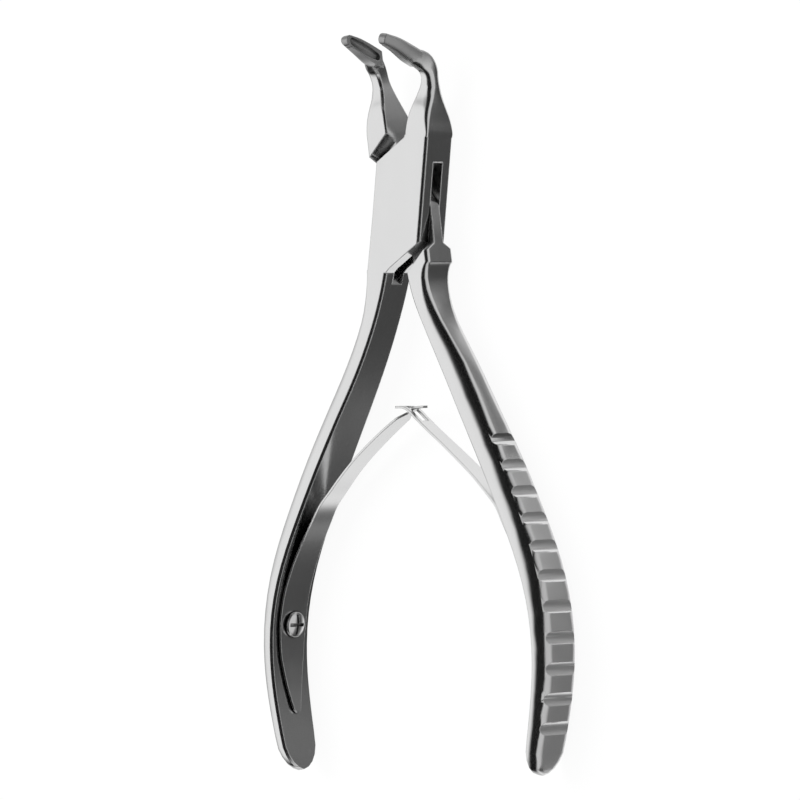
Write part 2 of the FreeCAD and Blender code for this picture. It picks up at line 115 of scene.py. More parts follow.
# %% [markdown]
# ## Sums made of nodes
# A finish or a sky in Blender is a graph: every sum, soft edge and blend of two colours is a node
# with wires. It could be wired by hand in the editor, where a long graph is hard to read. Written
# out, with one short helper for each kind of node, it reads like the sum that it works out.

# %% Node helpers
def add(tree, kind, **values):
    """One node, with its properties set; a name that is an input sets that input's own value."""
    node = tree.nodes.new(kind)
    for name, value in values.items():
        if hasattr(node, name):
            setattr(node, name, value)
        else:
            node.inputs[name.replace("_", " ")].default_value = value
    return node


def math_node(tree, operation, *values):
    """A Math node; each value is a number or another node's output."""
    node = tree.nodes.new("ShaderNodeMath")
    node.operation = operation
    for index, value in enumerate(values):
        if isinstance(value, (int, float)):
            node.inputs[index].default_value = value
        else:
            tree.links.new(value, node.inputs[index])
    return node.outputs[0]


def clamped(output):
    """The same Math output, kept between 0 and 1."""
    output.node.use_clamp = True
    return output


def mix(tree, factor, first, second, blend="MIX"):
    """A colour from first to second; each is a grey level, a colour or another node's output."""
    node = add(tree, "ShaderNodeMix", data_type="RGBA", blend_type=blend)
    for name, value in (("Factor", factor), ("A", first), ("B", second)):
        if isinstance(value, bpy.types.NodeSocket):
            tree.links.new(value, node.inputs[name])
        elif name == "Factor":
            node.inputs[name].default_value = value
        else:
            levels = [value] * 3 if isinstance(value, float) else list(value)
            node.inputs[name].default_value = levels + [1]
    return node.outputs["Result"]


def beyond(tree, low, high, *terms):
    """A soft edge: 0 where the sum of weight times value is below low, 1 where it is above high."""
    total = 0.0
    for weight, value in terms:
        total = math_node(tree, "MULTIPLY_ADD", value, weight, total)
    edge = add(tree, "ShaderNodeMapRange", interpolation_type="SMOOTHSTEP")
    edge.inputs["From Min"].default_value = low
    edge.inputs["From Max"].default_value = high
    tree.links.new(total, edge.inputs["Value"])
    return edge.outputs["Result"]


def xyz(tree, vector):
    """The three parts of a vector."""
    split = add(tree, "ShaderNodeSeparateXYZ")
    tree.links.new(vector, split.inputs[0])
    return [split.outputs[name] for name in "XYZ"]


print("helpers:", [helper.__name__ for helper in (add, math_node, clamped, mix, beyond, xyz)])

# %% [markdown]
# ## The studio
# Polished steel has hardly a colour of its own: it shows the room. A tool photographer therefore
# builds the room out of light and dark cards. They could be real sheets round the tool, but then each
# would light it and throw shadows too. So they are painted on the world's own sphere, where only
# reflections see them, and everything else is lit by an even pale sky and one soft lamp.
#
# Most of the cards make a ring round the tool's long axis. A broad white one overhead and to the left
# fills the front faces. A grey one on the right shows in the rounded outer sides. A dark one below it
# keeps the side faces dark, as far as the white ground behind the tool. The ring's right side leans
# where it nears the jaws, because the handles bow.

# %% Ring of cards
CARDS = [                  # degrees round the tool from straight up to the right, brightness
    (-180, 0.88), (-157, 0.82), (-142, 0.62), (-104, 0.62), (-84, 0.80), (-68, 0.90), (40, 0.90),
    (62, 0.62), (121, 0.62), (131, 0.13), (140, 0.06), (180, 0.06),
]
LEAN = 40.0                # degrees that the ring's right side has leant at the very front
LEAN_FROM = 60.0           # degrees to the right where the leaning part begins


def ring_of_cards(tree, angle, forward):
    """Brightness by the angle round the tool; a lean takes forward times LEAN off it on the right."""
    on_right = math_node(tree, "GREATER_THAN", angle, math.radians(LEAN_FROM))
    leaning = math_node(tree, "MULTIPLY", forward, on_right)
    card_angle = math_node(tree, "MULTIPLY_ADD", leaning, -math.radians(LEAN), angle)
    turn_share = math_node(tree, "MULTIPLY_ADD", card_angle, 0.5 / math.pi, 0.5)
    ramp = add(tree, "ShaderNodeValToRGB")
    ramp.color_ramp.interpolation = "EASE"
    stops = ramp.color_ramp.elements
    while len(stops) > 1:
        stops.remove(stops[-1])
    for index, (degrees, value) in enumerate(CARDS):
        position = (degrees + 180) / 360
        stop = stops.new(position) if index else stops[0]
        stop.position = position
        stop.color = (value, value, value, 1)
    tree.links.new(turn_share, ramp.inputs["Fac"])
    return ramp.outputs["Color"]


print("cards in the ring:", len(CARDS))

# %% [markdown]
# Two more cards hang across the ring: a black one over the tool, which draws the dark band along the
# rounded edges, and a grey one beyond the jaws, which calms their tops. A card's edge could be cut
# along an angle, as in the ring. These edges run aslant, so each is a plane through the middle of the
# sphere or beside it: a weighted sum of the three directions, with a soft step.

# %% Hanging cards
# An edge: weights of right, forward and up, and the sums over which it fades in.
BLACK_LEFT = ((1.0, -1.0, -0.5), (-0.90, -0.56))
BLACK_RIGHT = ((-0.531, 0.95, 1.0), (-0.13, 0.12))
BLACK_FOOT = ((0.0, 0.0, 1.0), (-0.68, -0.52))
JAW_CARD_FRONT = ((0.0, 1.0, 0.0), (0.42, 0.62))
JAW_CARD_FOOT = ((0.0, 0.0, 1.0), (-0.3, 0.2))
BLACK_CARD = (BLACK_LEFT, BLACK_RIGHT, BLACK_FOOT)
JAW_CARD = (JAW_CARD_FRONT, JAW_CARD_FOOT)


def hanging_card(tree, parts, *edges):
    """1 inside a card that hangs across the ring, 0 outside: the product of its edges."""
    inside = 1.0
    for weights, fade in edges:
        inside = math_node(tree, "MULTIPLY", beyond(tree, *fade, *zip(weights, parts)), inside)
    return inside


print("edges:", len(BLACK_CARD), "on the black card,", len(JAW_CARD), "on the grey one")

# %% [markdown]
# The sphere is put together from the back to the front: the ring and the ground, the grey card over
# them, and the black card over that. It could be one painted picture, but a sum stays sharp at any
# size. Rays that aren't reflections meet the plain sky instead.

# %% World
GROUND_FADE = (153, 178)   # degrees over which the white ground starts on the right
GROUND = 0.82
FAR_GLOW = 0.06            # added low down, towards the jaws
GLOW_SLOPE = (-2.5, 0.2)   # its share is first times the upward direction, plus second
SKY = 0.9
BLACK = 0.004
JAW_GREY = 0.34

world = bpy.data.worlds.new("studio")
bpy.context.scene.world = world
world.use_nodes = True
tree = world.node_tree
tree.nodes.clear()
rightward, along, up = xyz(tree, add(tree, "ShaderNodeTexCoord").outputs["Generated"])
forward = math_node(tree, "MAXIMUM", along, 0.0)
angle = math_node(tree, "ARCTAN2", rightward, up)

low_down = clamped(math_node(tree, "MULTIPLY_ADD", up, *GLOW_SLOPE))
glow = math_node(tree, "MULTIPLY", math_node(tree, "MULTIPLY", forward, low_down), FAR_GLOW)
ground_share = beyond(tree, *(math.radians(degrees) for degrees in GROUND_FADE), (1.0, angle))
ground = math_node(tree, "MULTIPLY_ADD", ground_share, GROUND, glow)
ring = mix(tree, 1.0, ring_of_cards(tree, angle, forward), ground, blend="ADD")

parts = (rightward, forward, up)
with_jaw_card = mix(tree, hanging_card(tree, parts, *JAW_CARD), ring, JAW_GREY)
room = mix(tree, hanging_card(tree, parts, *BLACK_CARD), with_jaw_card, BLACK)
rays = add(tree, "ShaderNodeLightPath")
background = add(tree, "ShaderNodeBackground")
tree.links.new(mix(tree, rays.outputs["Is Glossy Ray"], SKY, room), background.inputs["Color"])
output = add(tree, "ShaderNodeOutputWorld")
tree.links.new(background.outputs[0], output.inputs[0])
print("world:", len(tree.nodes), "nodes")

# %% [markdown]
# ## The table and the lamp
# The tool lies on its back on white paper, under a lamp with a broad shade. A curved paper sweep is
# what a studio has, but the camera looks down here, so a flat sheet just under the handles does the
# same. It is nearly white to the camera, and a small part of it stays a real matt surface, so that a
# faint soft shadow shows where the tool rests. Reflections pass the sheet and the lamp by, because
# the painted cards stand in for what they would meet.

# %% Table and lamp
TABLE_REACH = 3.0
WHITE_SHARE = 0.93         # of the table's look that doesn't depend on light
PAPER_GREY = 0.92
LAMP_WATTS = 4.0
LAMP_SIZE = 0.5
LAMP_PLACE = (-0.35, 0.25, 0.7)

lowest = CAD_BOX[0][2]
corners = [(x * TABLE_REACH, y * TABLE_REACH, lowest) for x, y in ((-1, -1), (1, -1), (1, 1), (-1, 1))]
table_mesh = bpy.data.meshes.new("table")
table_mesh.from_pydata(corners, [], [(0, 1, 2, 3)])
table = bpy.data.objects.new("table", table_mesh)
bpy.context.scene.collection.objects.link(table)
table.visible_glossy = False
paper = bpy.data.materials.new("pale_table")
paper.use_nodes = True
tree = paper.node_tree
tree.nodes.clear()
matt = add(tree, "ShaderNodeBsdfDiffuse")
matt.inputs["Color"].default_value = (PAPER_GREY, PAPER_GREY, PAPER_GREY, 1)
white = add(tree, "ShaderNodeEmission")
white.inputs["Color"].default_value = (1, 1, 1, 1)
rays = add(tree, "ShaderNodeLightPath")
seen = math_node(tree, "MULTIPLY", rays.outputs["Is Camera Ray"], WHITE_SHARE)
mixed = add(tree, "ShaderNodeMixShader")
tree.links.new(seen, mixed.inputs[0])
tree.links.new(matt.outputs[0], mixed.inputs[1])
tree.links.new(white.outputs[0], mixed.inputs[2])
output = add(tree, "ShaderNodeOutputMaterial")
tree.links.new(mixed.outputs[0], output.inputs["Surface"])
table_mesh.materials.append(paper)

lamp_data = bpy.data.lights.new("soft_lamp", "AREA")
lamp_data.energy = LAMP_WATTS
lamp_data.size = LAMP_SIZE
lamp = bpy.data.objects.new("soft_lamp", lamp_data)
bpy.context.scene.collection.objects.link(lamp)
lamp.visible_glossy = False
lamp.location = LAMP_PLACE
lamp.rotation_euler = (-Vector(lamp.location)).to_track_quat("-Z", "Y").to_euler()
print("table at %.2f mm" % (lowest / MM))

# %% [markdown]
# ## The steel
# Surgical steel is brushed to a fine satin, then polished. Close up it has fine lines along the tool,
# a slightly cloudy gloss and a few hairline scratches. Photographs could be laid on it, but noise
# needs no seams and has no end. So one recipe makes every finish: long thin noise for the lines,
# large soft noise for the clouds, and thin creases for the scratches.

# %% Noise
LINE_DETAIL, CLOUD_DETAIL, HAIR_DETAIL = 3.0, 2.0, 1.0
CLOUD_SPACING = (9, 14, 9)        # mm
HAIR_SPACING = (2.6, 5.5, 0.5)    # mm
FINE_SHARE = 0.6           # how much each finer layer of noise adds to the one before


def noise(tree, point, spacing, detail):
    """Noise from 0 to 1 at a point, with about one swell per spacing in mm along X, Y and Z."""
    mapping = add(tree, "ShaderNodeMapping")
    mapping.inputs["Scale"].default_value = [1 / (step * MM) for step in spacing]
    tree.links.new(point, mapping.inputs["Vector"])
    texture = add(tree, "ShaderNodeTexNoise", Scale=1.0, Detail=detail, Roughness=FINE_SHARE)
    tree.links.new(mapping.outputs[0], texture.inputs["Vector"])
    return texture.outputs[0]


print("swells in mm: clouds", CLOUD_SPACING, "hairs", HAIR_SPACING)

# %% [markdown]
# The outer sides of the handles are left rougher for the hand. A mask could be painted, but the part
# of a handle that is gripped follows from where a point lies and which way its face looks.

# %% Gripped sides
GRIPPED = (46.0, 50.0)     # mm from the pivot down the handles, where the gripped part starts
SIDEWAYS = (0.7, 0.95)     # how far outwards a face must look to be gripped


def gripped_share(tree, place):
    """1 on the outer sides of the handles below the lock, 0 elsewhere."""
    facing = xyz(tree, add(tree, "ShaderNodeTexCoord").outputs["Normal"])
    side = math_node(tree, "SIGN", place[0])
    outwards = beyond(tree, *SIDEWAYS, (1.0, math_node(tree, "MULTIPLY", side, facing[0])))
    return math_node(tree, "MULTIPLY", outwards, beyond(tree, *GRIPPED, (-1 / MM, place[1])))


print("gripped from %.0f mm below the pivot" % GRIPPED[0])

# %% [markdown]
# Corners where two walls meet are darkened in the base colour: painted shade for the shadow that falls
# there. Edges are the other way: the wheel wears each one to a hair's rounding. Real roundings would cost
# many faces. A bevel in the shading shows them without any, and it is left out round the pin, because pin
# and box are ground flat together there.

# %% Corners and edges
CORNER_REACH = 1.6         # how near two walls must be to leave a dark corner, mm
CORNER_SLOPE = (1.9, -0.62)       # open share = first times what is unhidden, plus second
# grey of the painted shade in corners, from an ambient occlusion node
CORNER_SHADE_GREY = 0.06
FULL_EDGE = (-46.0, -40.0)        # mm along Y where edges go from half to their full radius
LOCK_EDGE = (-20.0, -12.0)        # mm along Y where the lock and the jaws add EDGE_EXTRA
EDGE_EXTRA = 0.15
PIN_CLEAR = 3.0            # mm from the axis: no rounding inside, all of it 1 mm further out
CORNER_SAMPLES = 16
EDGE_SAMPLES = 6


def unshaded_share(tree):
    """0 deep in a corner between two walls, where the colour gets painted shade, 1 out in the open."""
    corner = add(tree, "ShaderNodeAmbientOcclusion", samples=CORNER_SAMPLES)
    corner.inputs["Distance"].default_value = CORNER_REACH * MM
    return clamped(math_node(tree, "MULTIPLY_ADD", corner.outputs["AO"], *CORNER_SLOPE))


def worn_edges(tree, place, edge):
    """Normals with each edge rounded: half of edge on the handles, all of it and more at the lock."""
    rounded = add(tree, "ShaderNodeBevel", samples=EDGE_SAMPLES)
    squares = [math_node(tree, "POWER", part, 2.0) for part in place[:2]]
    from_axis = math_node(tree, "SQRT", math_node(tree, "ADD", *squares))
    away = clamped(math_node(tree, "MULTIPLY_ADD", from_axis, 1 / MM, -PIN_CLEAR))
    full = math_node(tree, "MULTIPLY_ADD", beyond(tree, *FULL_EDGE, (1 / MM, place[1])), 0.5, 0.5)
    extra = beyond(tree, *LOCK_EDGE, (1 / MM, place[1]))
    share = math_node(tree, "MULTIPLY_ADD", extra, EDGE_EXTRA, full)
    radius = math_node(tree, "MULTIPLY", math_node(tree, "MULTIPLY", away, share), edge * MM)
    tree.links.new(radius, rounded.inputs["Radius"])
    return rounded.outputs[0]


print("corners dark within %.1f mm" % CORNER_REACH)

# %% [markdown]
# Lines, clouds and scratches turn the roughness and a very small bump, because on bare metal it is
# the gloss that varies and hardly the colour. A plain grey of even gloss would look like plastic. The
# cups are left as they were ground, duller and darker than the rest.

# %% Steel finishes
CREASE_SHARPNESS = 90.0    # a scratch is where the hair noise lies within 1 / this of its middle
CLOUD_SHARE = 0.8          # of the spread, that the clouds add
SCRATCH_DEPTH = 0.4        # of the lines' height
TINTS = (0.96, 1.03)       # of the colour, between the clouds
CUPS = (25.0, 28.0)        # mm from the pivot to the jaws, where the cups start
CUP_GREY = 0.42
BUMP_STRENGTH = 0.05
BUMP_HEIGHT = 0.02         # mm


def steel(name, colour, rough, spread, grain, scratches, edge, grip=0.0):
    """A steel finish with lines, clouds, scratches, painted shade in corners and worn edges.

    Roughness is rough, with half of spread up or down by the lines, a share of spread added by the
    clouds, scratches added in each crease, and grip added on the gripped sides and the cups. colour
    is a grey level, grain the lines' spacing along X, Y and Z in mm, and edge a radius in mm."""
    material = bpy.data.materials.new(name)
    material.use_nodes = True
    tree = material.node_tree
    shader = tree.nodes["Principled BSDF"]
    shader.inputs["Metallic"].default_value = 1.0
    point = add(tree, "ShaderNodeTexCoord").outputs["Object"]
    place = xyz(tree, point)

    lines = noise(tree, point, grain, LINE_DETAIL)
    clouds = noise(tree, point, CLOUD_SPACING, CLOUD_DETAIL)
    hairs = noise(tree, point, HAIR_SPACING, HAIR_DETAIL)
    from_middle = math_node(tree, "ABSOLUTE", math_node(tree, "SUBTRACT", hairs, 0.5))
    scratch = clamped(math_node(tree, "MULTIPLY_ADD", from_middle, -CREASE_SHARPNESS, 1.0))

    roughness = math_node(tree, "MULTIPLY_ADD", lines, spread, rough - spread / 2)
    roughness = math_node(tree, "MULTIPLY_ADD", clouds, spread * CLOUD_SHARE, roughness)
    roughness = math_node(tree, "MULTIPLY_ADD", scratch, scratches, roughness)
    tone = mix(tree, clouds, *([min(colour * tint, 1)] * 3 for tint in TINTS))
    if grip:
        cups = beyond(tree, *CUPS, (1 / MM, place[1]))
        rougher = math_node(tree, "MAXIMUM", gripped_share(tree, place), cups)
        roughness = math_node(tree, "MULTIPLY_ADD", rougher, grip, roughness)
        tone = mix(tree, cups, tone, CUP_GREY)
    tree.links.new(roughness, shader.inputs["Roughness"])
    # painted shade: the base colour falls towards CORNER_SHADE_GREY where the corners hide it
    tree.links.new(mix(tree, unshaded_share(tree), CORNER_SHADE_GREY, tone), shader.inputs["Base Color"])

    bump = add(tree, "ShaderNodeBump", Strength=BUMP_STRENGTH, Distance=BUMP_HEIGHT * MM)
    tree.links.new(math_node(tree, "MULTIPLY_ADD", scratch, -SCRATCH_DEPTH, lines), bump.inputs["Height"])
    tree.links.new(worn_edges(tree, place, edge), bump.inputs["Normal"])
    tree.links.new(bump.outputs[0], shader.inputs["Normal"])
    return material


satin = steel("satin_steel", colour=0.80, rough=0.14, spread=0.05, grain=(0.12, 5.0, 0.12),
              scratches=0.05, edge=0.30, grip=0.2)
pin_finish = steel("pin_steel", colour=0.80, rough=0.14, spread=0.05, grain=(0.12, 5.0, 0.12),
                   scratches=0.05, edge=0.16)
spring_finish = steel("spring_steel", colour=0.82, rough=0.16, spread=0.06, grain=(3.0, 3.0, 0.10),
                      scratches=0.04, edge=0.36)
screw_finish = steel("screw_steel", colour=0.80, rough=0.14, spread=0.05, grain=(0.3, 0.3, 0.3),
                     scratches=0.03, edge=0.06)
print("finishes:", [finish.name for finish in (satin, pin_finish, spring_finish, screw_finish)])

# %% [markdown]
# ## Putting a piece in place
# Every dressed piece goes the same way: a mesh from arrays, a finish, and a body to ride on where one is
# given. Ground steel is smooth on its roundings and flat on its faces, with crisp edges between them.
# Flat shading would show every cell, and smooth shading alone would bend the light over the flats too. So
# an edge stays crisp where two faces meet at more than a small angle, and weighted normals keep flats
# flat.

# %% Finished pieces
CRISP_ANGLE = 30.0         # degrees between two faces, from which their edge is crisp
FLAT_WEIGHT = 60


def finished(name, points, faces, material, body, slot, stands_for):
    """A mesh object from arrays, shaded smooth with crisp edges, riding on its body if one is given."""
    mesh = bpy.data.meshes.new(name)
    mesh.from_pydata(points.tolist(), [], [tuple(face) for face in faces])
    mesh.update()
    mesh.shade_smooth()
    mesh.set_sharp_from_angle(angle=math.radians(CRISP_ANGLE))
    mesh.materials.append(material)
    piece = bpy.data.objects.new(name, mesh)
    bpy.context.scene.collection.objects.link(piece)
    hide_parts(*stands_for)
    if body:
        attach(piece, body)
    print(name, "corners", len(points), "faces", len(faces))
    return piece


def flat_weights(piece):
    """Lets the larger faces decide the shading, so that flats stay flat beside a rounding."""
    modifier = piece.modifiers.new("flat_faces", "WEIGHTED_NORMAL")
    modifier.keep_sharp = True
    modifier.weight = FLAT_WEIGHT
    return modifier


print("edges crisp from %.0f degrees" % CRISP_ANGLE)

# %% [markdown]
# ## The limbs
# Each limb is one forging: a jaw with its cup, one half of the lock, and a grooved handle. The
# model's mesh has the right shape, but its triangles are loose, so light breaks at every one of
# them. It could be modelled again by hand, and would then drift from the real sizes. A copy with its
# matching corners merged keeps them all and can be shaded smooth.

# %% Limbs
MERGE_DECIMALS = 4         # corners that agree so far, in mm, are one corner


def merged_copy(node):
    """A node's corners and triangles, with corners at one place made one corner."""
    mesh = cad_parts[node].data
    points = np.empty(len(mesh.vertices) * 3, np.float32)
    mesh.vertices.foreach_get("co", points)
    points = points.reshape(-1, 3)
    corner_of = np.empty(len(mesh.loops), np.int32)
    mesh.loops.foreach_get("vertex_index", corner_of)
    rounded = np.round(points / MM, MERGE_DECIMALS)
    _, first, same = np.unique(rounded, axis=0, return_index=True, return_inverse=True)
    triangles = same.reshape(-1)[corner_of].reshape(-1, 3)
    a, b, c = triangles.T
    whole = (a != b) & (b != c) & (c != a)
    return points[first].astype(float), triangles[whole]


for node, body in (("box_limb", "box_body"), ("tongue_limb", "tongue_body")):
    limb = finished(node + "_satin", *merged_copy(node), satin, body, "limb_steel", [node])
    flat_weights(limb)

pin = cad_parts["pivot_pin"]
pin.material_slots[0].material = pin_finish
print("pin finish:", pin.material_slots[0].material.name)

# %% [markdown]
# ## The leaf springs
# Two strips of hardened steel push the handles apart. Each is screwed to its handle, rises from it
# in a slow curve and crosses the other one: the left leaf's narrow end goes through a window in the
# right leaf. Both follow a middle line through a few chosen points. Straight lines between them
# would show as kinks in the gloss, so the middle line is made of cubics that share their slopes.

# %% Routes of the leaves
TAIL = [                   # middle line from the tail, left leaf, and its half width
    (-30.32, -97.10, 0.80), (-31.09, -91.79, 2.10), (-31.47, -86.24, 3.20), (-31.18, -80.09, 3.70),
    (-30.13, -74.44, 3.60), (-28.41, -69.71, 3.40), (-25.97, -64.63, 3.05), (-23.58, -60.54, 2.80),
]
LEFT_ROUTE = np.array(TAIL + [
    (-21.75, -57.50, 2.60), (-19.20, -54.70, 2.45), (-16.40, -51.70, 2.35), (-13.10, -48.60, 2.30),
    (-9.50, -45.70, 2.28), (-5.40, -42.70, 2.15), (-2.60, -40.85, 1.95), (-0.95, -39.85, 0.62),
    (1.05, -38.85, 0.62), (3.00, -38.70, 0.62),
])
RIGHT_ROUTE = np.array(TAIL + [
    (-21.75, -57.50, 2.50), (-19.05, -54.70, 2.35), (-16.00, -51.80, 2.20), (-12.30, -48.80, 2.05),
    (-8.30, -45.70, 1.90), (-4.30, -42.70, 1.85), (-2.30, -41.10, 1.85), (1.05, -38.80, 1.85),
    (3.00, -38.70, 1.80),
])


def smooth_curve(knots, values, where):
    """Values between knots, at the lengths in where.

    Each stretch is a cubic in t, which runs from 0 to 1 over it. It starts and ends at the knots'
    values, with slopes that are the mean slopes round each knot."""
    slopes = np.gradient(values, knots, axis=0)
    start = np.clip(np.searchsorted(knots, where, side="right") - 1, 0, len(knots) - 2)
    length = (knots[start + 1] - knots[start])[:, None]
    t = (where - knots[start])[:, None] / length
    return ((2 * t**3 - 3 * t**2 + 1) * values[start] + (t**3 - 2 * t**2 + t) * length * slopes[start]
            + (3 * t**2 - 2 * t**3) * values[start + 1] + (t**3 - t**2) * length * slopes[start + 1])


print("points of the routes:", len(LEFT_ROUTE), "left,", len(RIGHT_ROUTE), "right")

# %% [markdown]
# A curve with a bevelled section would make the strip, but not its changing width or the window. So
# it is a grid of cells along and across its route, with a top and a bottom. The window is cells left
# out, and every edge next to a missing cell gets a wall, which closes the sheet by itself.

# %% Sheet of cells
LEAF_THICKNESS = 0.45
SIDE_CELLS = 3             # cells on each side of the window
WINDOW_CELLS = 4           # and across it


def sheet_of_cells(middle, normal, half_widths, inner, present):
    """A thin closed sheet: rows along a path, columns across it, walls where a cell is missing.

    A point is the path's middle, plus its column's distance along Z, plus or minus half the
    thickness along the normal. present says for each cell whether it is there."""
    steps = np.linspace(0, 1, SIDE_CELLS + 1)[1:]
    outer = inner[:, None] + (half_widths - inner)[:, None] * steps
    within = inner[:, None] * np.linspace(-1, 1, WINDOW_CELLS + 1)
    columns = np.concatenate([-outer[:, ::-1], within, outer], axis=1)
    rows, count = columns.shape
    flat = np.repeat(middle[:, None, :], count, axis=1)
    flat[:, :, 2] += columns
    shift = (normal * LEAF_THICKNESS / 2)[:, None, :]
    points = np.concatenate([(flat + shift).reshape(-1, 3), (flat - shift).reshape(-1, 3)])
    top = np.arange(rows * count).reshape(rows, count)
    bottom = top + rows * count
    around = np.pad(present, 1)

    def quads(mask, *corners):
        return np.stack([corner[mask] for corner in corners], axis=1)

    def corner(sheet, down, along):
        return sheet[down:rows - 1 + down, along:count - 1 + along]

    faces = np.concatenate([
        quads(present, corner(top, 0, 0), corner(top, 1, 0), corner(top, 1, 1), corner(top, 0, 1)),
        quads(present, corner(bottom, 0, 0), corner(bottom, 0, 1), corner(bottom, 1, 1),
              corner(bottom, 1, 0)),
        quads(present & ~around[1:-1, 2:], corner(top, 0, 1), corner(top, 1, 1), corner(bottom, 1, 1),
              corner(bottom, 0, 1)),
        quads(present & ~around[1:-1, :-2], corner(bottom, 0, 0), corner(bottom, 1, 0), corner(top, 1, 0),
              corner(top, 0, 0)),
        quads(present & ~around[2:, 1:-1], corner(top, 1, 0), corner(bottom, 1, 0), corner(bottom, 1, 1),
              corner(top, 1, 1)),
        quads(present & ~around[:-2, 1:-1], corner(bottom, 0, 0), corner(top, 0, 0), corner(top, 0, 1),
              corner(bottom, 0, 1)),
    ])
    used, packed = np.unique(faces, return_inverse=True)
    return points[used], packed.reshape(faces.shape)


print("cells across a leaf:", 2 * SIDE_CELLS + WINDOW_CELLS)

# %% [markdown]
# A strip is wide over its handle, round at the tail, and slimmer towards the crossing. Two meshes
# could be drawn by hand. One function makes both leaves, because the right one is the left one's
# mirror image apart from its route and its window.

# %% Leaf shape
WINDOW_HALF_WIDTH = 0.95
WINDOW_SHARE = 0.6         # of the leaf's width, at most
WINDOW = (-2.8, 2.2)       # where the window starts and ends across the tool, left leaf's side
TAIL_ROUND = 1.3           # length over which the tail rounds off
TAIL_SHARE = 0.35          # of its width, left at the very end
TAIL_LENGTH = 3.0          # the stretch with closer rows
ROUTE_SAMPLES = 2000
TAIL_ROWS, FREE_ROWS, WINDOW_ROWS, END_ROWS = 9, 90, 14, 4


def leaf(side, has_window):
    """One leaf spring; side is -1 on the left and 1 on the right, where it is mirrored.

    Rows lie close together at the tail and along the window. The tail's half width grows from
    TAIL_SHARE of the route's to all of it, as a quarter of a round."""
    route = RIGHT_ROUTE if has_window else LEFT_ROUTE
    knots = np.concatenate([[0], np.cumsum(np.linalg.norm(np.diff(route[:, :2], axis=0), axis=1))])
    upper = np.linspace(0, knots[-1], ROUTE_SAMPLES)[ROUTE_SAMPLES // 2:]
    start, end = np.interp(WINDOW, smooth_curve(knots, route, upper)[:, 0], upper)
    stretches = [(0, TAIL_LENGTH, TAIL_ROWS), (TAIL_LENGTH, start, FREE_ROWS),
                 (start, end, WINDOW_ROWS), (end, knots[-1], END_ROWS)]
    rows = np.unique(np.concatenate([np.linspace(*stretch) for stretch in stretches]))
    path = smooth_curve(knots, route, rows)
    way = np.gradient(path[:, :2], rows, axis=0)
    way /= np.linalg.norm(way, axis=1)[:, None]
    normal = np.column_stack([way[:, 1], -way[:, 0], np.zeros(len(rows))])
    middle = np.column_stack([path[:, :2], np.full(len(rows), MIDDLE_Z)])
    from_end = np.clip(rows / TAIL_ROUND, 0, 1)
    quarter_round = np.sqrt(1 - (1 - from_end) ** 2)
    half_widths = np.interp(rows, knots, route[:, 2]) * (TAIL_SHARE + (1 - TAIL_SHARE) * quarter_round)
    inner = np.minimum(WINDOW_HALF_WIDTH, WINDOW_SHARE * half_widths)
    present = np.ones((len(rows) - 1, 2 * SIDE_CELLS + WINDOW_CELLS), bool)
    if has_window:
        inside = (rows[:-1] >= start) & (rows[:-1] < end)
        present[inside, SIDE_CELLS:-SIDE_CELLS] = False
    points, faces = sheet_of_cells(middle, normal, half_widths, inner, present)
    if side > 0:
        points[:, 0] *= -1
        faces = faces[:, ::-1]
    return points * MM, faces


print("window in mm across the tool:", WINDOW)

# %% [markdown]
# A leaf bends when the handles close: near the screw it stays with its handle, and past the bend it
# swings with its own body in the moving model. A bone chain or one blend between the two bodies could
# bend it, since nearly all of the bending lies in one stretch. Here each leaf is built as it rests, rides
# on no body, and only has its edges broken by a bevel.

# %% Leaf springs
EDGE_BREAK = 0.13
BREAK_STEPS = 3
BREAK_FROM = 40.0          # degrees

for side, name, has_window in ((-1, "left", False), (1, "right", True)):
    points, faces = leaf(side, has_window)
    strip = finished("leaf_" + name, points, faces, spring_finish, None, "spring_steel",
                     ["spring_" + name])
    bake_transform(strip)
    edges = strip.modifiers.new("broken_edges", "BEVEL")
    edges.width = EDGE_BREAK * MM
    edges.segments = BREAK_STEPS
    edges.limit_method = "ANGLE"
    edges.angle_limit = math.radians(BREAK_FROM)
    flat_weights(strip)

# %% [markdown]
# ## The spring screws
# Each leaf is held by a pan-head screw with a cross recess. The cross could be cut out by a boolean,
# which leaves ragged shading. A real one is pressed into the crown, and so it is here: every point is
# lowered by how deep it lies inside the nearer arm. The arms get narrower with depth, as the driver's
# tip does.

# %% Cross recess
ARM_HALF_WIDTH = 0.34
ARM_LENGTH = 2.0
ARM_WALL = 0.20            # run of an arm's sloping wall
ARM_END_RISE = 0.6         # how steep an arm's end is beside its walls
RECESS_DEPTH = 0.55


def recess(x, y):
    """Depth of the cross at a point: full inside an arm, sloping to nothing over its wall.

    The slope is the smooth step 3 d squared minus 2 d cubed of the share d of the wall's run."""
    def arm(along, across):
        from_end = (ARM_LENGTH - np.abs(along)) * ARM_END_RISE
        inside = np.minimum(ARM_HALF_WIDTH - np.abs(across), from_end)
        return np.clip(inside / ARM_WALL, 0, 1)
    depth = np.maximum(arm(x, y), arm(y, x))
    return RECESS_DEPTH * depth * depth * (3 - 2 * depth)


print("cross %.1f mm wide, %.2f mm deep" % (2 * ARM_LENGTH, RECESS_DEPTH))

# %% [markdown]
# A screw is round about its axis, so its shape is a profile carried round it: from the crown over
# the rounded rim to the underside, a low collar that presses on the leaf, and the shank. A cylinder
# with bevels would come close, but its top would be flat.

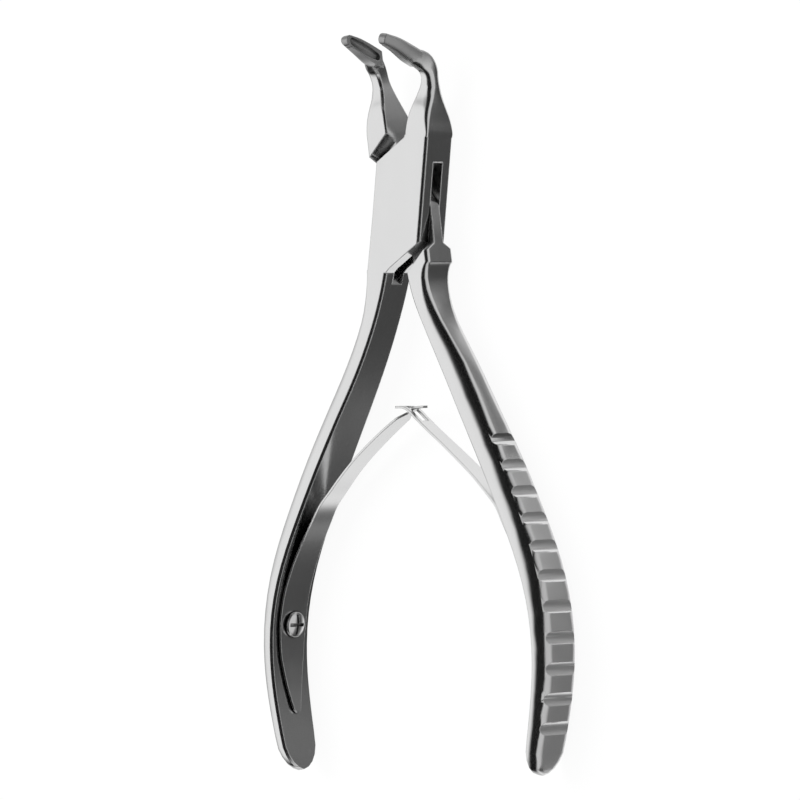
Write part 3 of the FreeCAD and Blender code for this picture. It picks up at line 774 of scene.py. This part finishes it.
# %% Spring screws
HEAD_RADIUS = 2.45
HEAD_HEIGHT = 1.0
CROWN = 0.50               # how far the middle of the head rises over its rim
RIM_ROUND = 0.30
SEAT_RADIUS = 1.9          # the low collar under the head that presses on the leaf
SEAT_DROP = 0.27
SHANK_RADIUS = 1.1
SHANK_LENGTH = 3.4
TIP_LENGTH = 0.3           # of the shank's tapered end
TIP_SHARE = 0.8            # of its radius, left at the end
CROSS_TURN = 22.0          # degrees that the cross is turned
SPOKES = 144
CROWN_RINGS = 62
RIM_RINGS = 9
FIRST_RING = 0.03          # radius
RIM_FROM = 8.0             # degrees of the rim's arc where its first ring lies
UNDER_BREAK = 0.04         # the underside's broken edge
SCREW_UNDER = (-30.683, -80.151)     # middle of the left head's underside
SCREW_UP = (0.99339, -0.11482)       # and the way its crown faces


def screw(side):
    """A screw as rings of points round its axis, closed by a point at each end.

    The crown falls with the square of the radius, and the rim is an arc."""
    crown_r = np.linspace(FIRST_RING, HEAD_RADIUS - RIM_ROUND, CROWN_RINGS)
    crown_h = HEAD_HEIGHT - CROWN * (crown_r / HEAD_RADIUS) ** 2
    arc = np.radians(np.linspace(RIM_FROM, 90, RIM_RINGS))
    rim_r = HEAD_RADIUS - RIM_ROUND * (1 - np.sin(arc))
    rim_h = crown_h[-1] - RIM_ROUND * (1 - np.cos(arc))
    lower = np.array([
        (HEAD_RADIUS, UNDER_BREAK), (HEAD_RADIUS - UNDER_BREAK, 0), (SEAT_RADIUS, 0),
        (SEAT_RADIUS, -SEAT_DROP), (SHANK_RADIUS, -SEAT_DROP), (SHANK_RADIUS, TIP_LENGTH - SHANK_LENGTH),
        (SHANK_RADIUS * TIP_SHARE, -SHANK_LENGTH),
    ])
    radius = np.concatenate([crown_r, rim_r, lower[:, 0]])
    height = np.concatenate([crown_h, rim_h, lower[:, 1]])
    angle = np.linspace(0, 2 * np.pi, SPOKES, endpoint=False) + math.radians(CROSS_TURN)
    a = radius[:, None] * np.cos(angle)
    b = radius[:, None] * np.sin(angle)
    h = np.repeat(height[:, None], SPOKES, axis=1)
    h[:CROWN_RINGS] -= recess(a[:CROWN_RINGS], b[:CROWN_RINGS])
    local = np.stack([a, b, h], axis=-1).reshape(-1, 3)
    ends = np.array([[0, 0, HEAD_HEIGHT - RECESS_DEPTH], [0, 0, -SHANK_LENGTH]])
    local = np.concatenate([local, ends])
    up = np.array([-side * SCREW_UP[0], SCREW_UP[1], 0])
    first = np.array([0, 0, 1.0])
    second = np.cross(up, first)
    base = np.array([-side * SCREW_UNDER[0], SCREW_UNDER[1], MIDDLE_Z])
    points = base + local[:, :1] * first + local[:, 1:2] * second + local[:, 2:] * up
    ring = np.arange(len(radius) * SPOKES).reshape(len(radius), SPOKES)
    after = np.roll(ring, -1, axis=1)
    quads = np.stack([ring[:-1], ring[1:], after[1:], after[:-1]], axis=-1).reshape(-1, 4).tolist()
    top = [(len(local) - 2, i, j) for i, j in zip(ring[0], after[0])]
    bottom = [(len(local) - 1, j, i) for i, j in zip(ring[-1], after[-1])]
    return points * MM, quads + top + bottom


for side, name in ((-1, "left"), (1, "right")):
    body = "box_body" if side < 0 else "tongue_body"
    finished("screw_" + name, *screw(side), screw_finish, body, "screw_steel", ["spring_screw_" + name])
